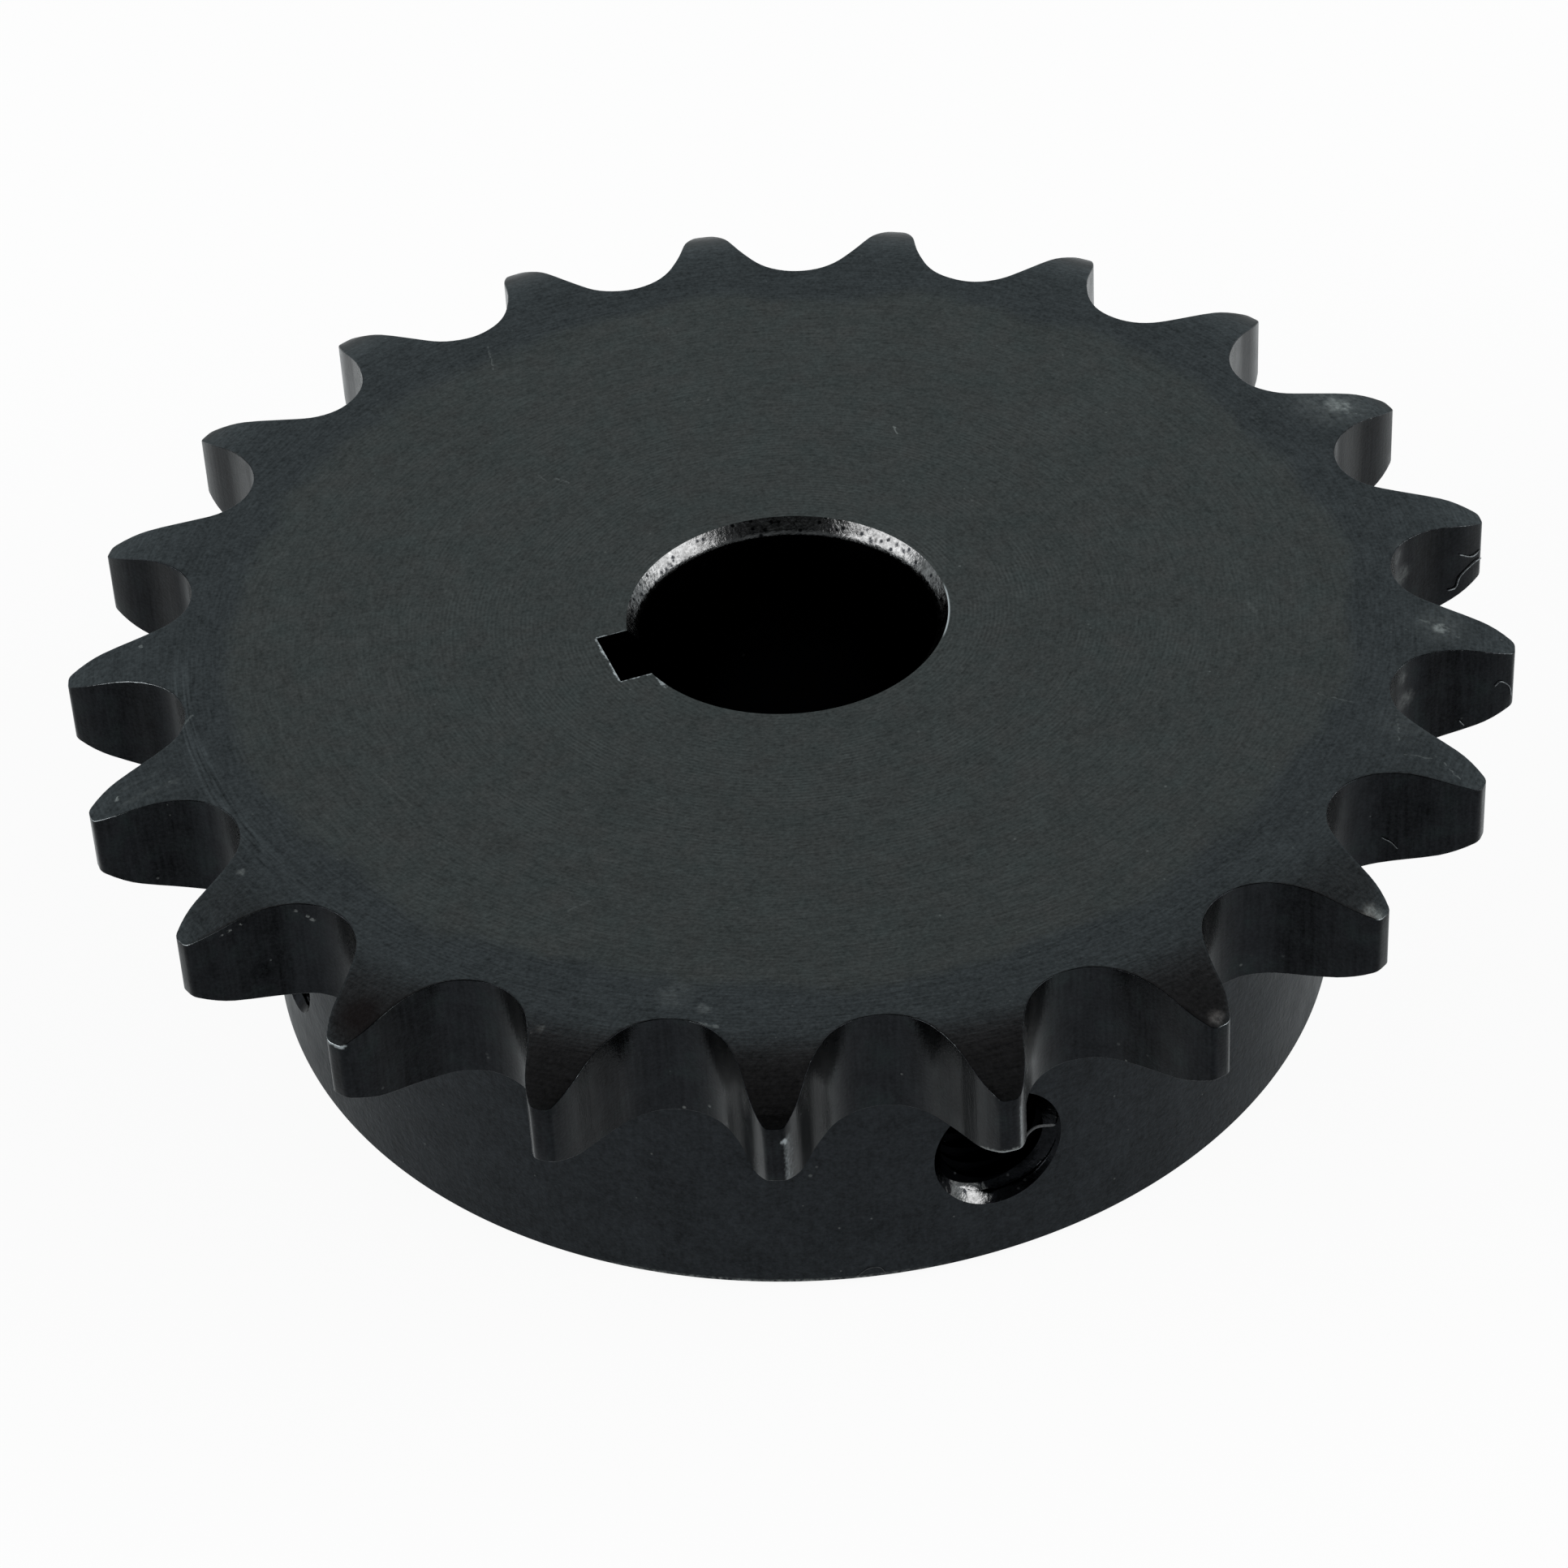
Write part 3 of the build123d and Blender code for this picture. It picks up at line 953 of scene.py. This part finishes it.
def pale_lint():
    """Lint: matt, off-white on the fibres round one bearing and dark grey on the others."""
    lint = Finish("pale_lint")
    fuzz = lint.uneven(0.3, 2)
    off_white_share = lint.times(lint.towards(165, 25, 45), lint.between(fuzz, -0.3, 0.3, 0.6, 1.0))
    colour = lint.mix(off_white_share, (0.060, 0.062, 0.064, 1), (0.23, 0.25, 0.26, 1))
    colour = lint.shaded(colour, lint.about_one((fuzz, 0.4)))
    rough = lint.noise(lint.place, 0.5, 2, 0.8, 0.95)
    return lint.done(colour, rough, lint.bump((fuzz, 0.01)), 1.0, 0.0)


# ---------------------------------------------------------------- pieces

sprocket = bpy.data.objects.new("sprocket_steel", sprocket_mesh())
bpy.context.scene.collection.objects.link(sprocket)
for make in (turned_steel, cut_teeth, turned_hub, bored_steel, chamfered_steel):
    sprocket.data.materials.append(make())
weighted = sprocket.modifiers.new("even_shading", "WEIGHTED_NORMAL")
weighted.keep_sharp = True
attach(sprocket, "root")
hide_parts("sprocket")


def lint_mesh():
    """The fibres of lint that cling to the teeth: round tubes of 6 sides, closed at both ends.

    Each fibre runs through its points on parabolas blended from one point to the next. A ring
    of points lies round each place on it, square to it: the place plus half the thickness times
    the cosine of an even turn along one cross direction and the sine along the other.
    """
    points, quads, count = [], [], 0
    turn = 2 * np.pi * np.arange(6) / 6
    for radius, *knots in lint_fibres:
        knots = np.array(knots)
        knots = np.vstack([2 * knots[0] - knots[1], knots, 2 * knots[-1] - knots[-2]])
        share = np.append(np.arange(8 * (len(knots) - 3)) / 8, len(knots) - 3 - 1e-9)
        first = share.astype(int)
        share = (share - first)[:, None]
        before, start, end, after = (knots[first + step] for step in range(4))
        line = (start + (end - before) * share / 2
                + (2 * before - 5 * start + 4 * end - after) * share**2 / 2
                + (3 * start - before - 3 * end + after) * share**3 / 2)
        ahead = np.gradient(line, axis=0)
        side = np.cross(ahead, (0.2, 0.3, 1.0))
        side /= np.linalg.norm(side, axis=1)[:, None]
        other = np.cross(ahead, side)
        other /= np.linalg.norm(other, axis=1)[:, None]
        thick = radius * np.append(np.full(len(line) - 1, 1.0), 0.3)[:, None, None]
        thick[0] *= 0.3
        rings = line[:, None] + thick * (np.cos(turn)[:, None] * side[:, None]
                                         + np.sin(turn)[:, None] * other[:, None])
        points.append(rings.reshape(-1, 3))
        body = grid_quads(len(line), 6, True).reshape(-1, 4)
        ends = np.array([[0, 1, 2, 3], [0, 3, 4, 5]])
        last = 6 * (len(line) - 1)
        quads.append(np.concatenate([body, ends, last + ends[:, ::-1]]) + count)
        count += 6 * len(line)
    mesh = bpy.data.meshes.new("lint_fibres")
    mesh.from_pydata((np.concatenate(points) * MM).tolist(), [], np.concatenate(quads).tolist())
    mesh.shade_smooth()
    return mesh


lint = bpy.data.objects.new("lint_fibres", lint_mesh())
bpy.context.scene.collection.objects.link(lint)
lint.data.materials.append(pale_lint())
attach(lint, "root")


# ---------------------------------------------------------------- camera

def direction(bearing, height):
    """The unit vector at a bearing round the bore and an angle above the floor."""
    return Vector((math.cos(bearing) * math.cos(height), math.sin(bearing) * math.cos(height),
                   math.sin(height)))


scene = bpy.context.scene
scene.view_settings.view_transform = "Standard"

# It looks down at the plate from beyond the +Y side, tipped a little round its own axis
camera_data = bpy.data.cameras.new("camera")
camera_data.sensor_width = 36
camera_data.lens = 119.39
camera_data.clip_start = 0.01
camera_data.clip_end = 10
camera = bpy.data.objects.new("camera", camera_data)
scene.collection.objects.link(camera)
scene.camera = camera
camera_distance = 0.35722
camera_bearing = math.radians(71.777)
camera_height = math.radians(39.653)
camera_roll = -0.058395
camera_target = Vector((-0.0034695, -0.0132079, 0))
back = direction(camera_bearing, camera_height)
level = (-back).cross(Vector((0, 0, 1))).normalized()
upward = level.cross(-back)
right = math.cos(camera_roll) * level + math.sin(camera_roll) * upward
top = math.cos(camera_roll) * upward - math.sin(camera_roll) * level
camera.matrix_world = Matrix.Translation(camera_target + back * camera_distance) @ Matrix(
    (right, top, back)).transposed().to_4x4()


# ---------------------------------------------------------------- floor and light

light_colour = (0.93, 1.0, 1.02, 1)
overhead_colour = (1.31, 1.14, 1.12, 1)


def shown_rays(tree, seen, mirrored):
    """How much of the plain white each ray sees: the camera's, and glossy and transmitted ones."""
    rays = add_node(tree, "LightPath", {}).node
    total = 0.0
    for name, share in (("Is Camera Ray", seen), ("Is Glossy Ray", mirrored),
                        ("Is Transmission Ray", mirrored)):
        total = add_node(tree, "Math", {0: rays.outputs[name], 1: share, 2: total},
                         operation="MULTIPLY_ADD")
    return total


def white_if_seen(tree, unseen):
    """White to the camera's rays, and the given colour to all others."""
    rays = add_node(tree, "LightPath", {}, "Is Camera Ray")
    return add_node(tree, "Mix", {0: rays, 6: unseen, 7: (1, 1, 1, 1)}, 2, data_type="RGBA")


def pale_floor():
    """White where it is seen or mirrored, mixed with a lit white that keeps a faint shadow."""
    material = bpy.data.materials.new("pale_floor")
    material.use_nodes = True
    tree = material.node_tree
    tree.nodes.clear()
    lit = add_node(tree, "BsdfDiffuse", {"Color": (0.9, 0.9, 0.9, 1)})
    white = add_node(tree, "Emission", {
        "Color": white_if_seen(tree, light_colour), "Strength": 1.0})
    shown = shown_rays(tree, floor_white, floor_mirrored)
    mixed = add_node(tree, "MixShader", {0: shown, 1: lit, 2: white})
    add_node(tree, "OutputMaterial", {"Surface": mixed})
    return material


floor_white = 0.93
floor_mirrored = 0.28
floor_reach = 1.5
floor_mesh = bpy.data.meshes.new("floor")
floor_mesh.from_pydata([(-floor_reach, -floor_reach, 0), (floor_reach, -floor_reach, 0),
                        (floor_reach, floor_reach, 0), (-floor_reach, floor_reach, 0)], [],
                       [(0, 1, 2, 3)])
floor_mesh.materials.append(pale_floor())
floor = bpy.data.objects.new("floor", floor_mesh)
scene.collection.objects.link(floor)

# Light round the object by the sine of its elevation: bright along the horizon, dim overhead
sky_steps = ((0.0, 1.30), (0.15, 1.28), (0.27, 1.12), (0.36, 0.96), (0.46, 0.86), (0.62, 0.82),
             (0.69, 0.64), (0.78, 0.34), (0.87, 0.16), (1.0, 0.10))
ramp_scale = 2.0      # the ramp keeps the levels divided by this, so that none is above 1
overhead_edges = (0.70, 0.87)
# The share of it left on the camera's side, by the cosine of the bearing from the far side
sky_away = (-math.cos(camera_bearing), -math.sin(camera_bearing), 0)
near_share = 0.3
near_edges = (-0.85, 0.4)
# The dim gap between the soft boxes: its share, its sides, and the sine of its middle's elevation
gap_share = 0.1
gap_edges = (-0.93, -0.72)
gap_rise = 0.508
gap_reach = (0.08, 0.14)


def studio_world():
    """White to the camera; to all else the stepped light, with a dim gap and a warm overhead."""
    world = bpy.data.worlds.new("studio")
    world.use_nodes = True
    tree = world.node_tree
    tree.nodes.clear()

    def node(*described, **settings):
        return add_node(tree, *described, **settings)

    way = node("TexCoord", {}, "Generated")
    rise = node("SeparateXYZ", {0: way}, 2)
    steps = node("ValToRGB", {"Fac": rise})
    elements = steps.node.color_ramp.elements
    while len(elements) < len(sky_steps):
        elements.new(1.0)
    for element, (place, level) in zip(elements, sky_steps):
        element.position = place
        element.color = (level / ramp_scale,) * 3 + (1,)
    flat = node("VectorMath", {0: way, 1: (1, 1, 0)}, operation="MULTIPLY")
    flat = node("VectorMath", {0: flat}, operation="NORMALIZE")
    facing = node("VectorMath", {0: flat, 1: sky_away}, 1, operation="DOT_PRODUCT")
    dim = smooth_step(tree, facing, near_edges, near_share)
    gap = smooth_step(tree, facing, gap_edges, gap_share)
    off = node("Math", {0: rise, 1: gap_rise}, operation="SUBTRACT")
    off = node("Math", {0: off}, operation="ABSOLUTE")
    gap = node("Math", {0: gap, 1: smooth_step(tree, off, gap_reach)}, operation="MAXIMUM")
    dim = node("Math", {0: dim, 1: gap}, operation="MULTIPLY")
    strength = node("Math", {0: steps, 1: ramp_scale}, operation="MULTIPLY")
    strength = node("Math", {0: strength, 1: dim}, operation="MULTIPLY")
    strength = node("Mix", {0: node("LightPath", {}, "Is Camera Ray"), 2: strength, 3: 1.0}, 0)
    overhead = smooth_step(tree, rise, overhead_edges)
    tint = node("Mix", {0: overhead, 6: light_colour, 7: overhead_colour}, 2, data_type="RGBA")
    background = node("Background", {"Color": white_if_seen(tree, tint), "Strength": strength})
    node("OutputWorld", {"Surface": background})
    return world


scene.world = studio_world()


def soft_box(name, bearing, rise, wide, tall, level):
    """A lamp 1.2 m from the bore at a bearing from the camera's line of sight, facing the bore.

    wide and tall are the angles that it fills, rise is the angle of its middle above the floor,
    and level is its brightness as a white surface would show it.
    """
    distance = 1.2
    lamp_data = bpy.data.lights.new(name, "AREA")
    lamp_data.shape = "RECTANGLE"
    lamp_data.size = 2 * distance * math.tan(math.radians(wide / 2))
    lamp_data.size_y = 2 * distance * math.tan(math.radians(tall / 2))
    lamp_data.energy = level * math.pi * lamp_data.size * lamp_data.size_y
    lamp = bpy.data.objects.new(name, lamp_data)
    scene.collection.objects.link(lamp)
    away = direction(math.pi + camera_bearing - math.radians(bearing), math.radians(rise))
    aimed = away.to_track_quat("Z", "Y").to_matrix().to_4x4()
    lamp.matrix_world = Matrix.Translation(away * distance) @ aimed
    lamp.visible_camera = False


soft_box("soft_box_left", -107, 24, 50, 20, 6.0)
soft_box("soft_box_right", 98, 24, 56, 20, 6.0)
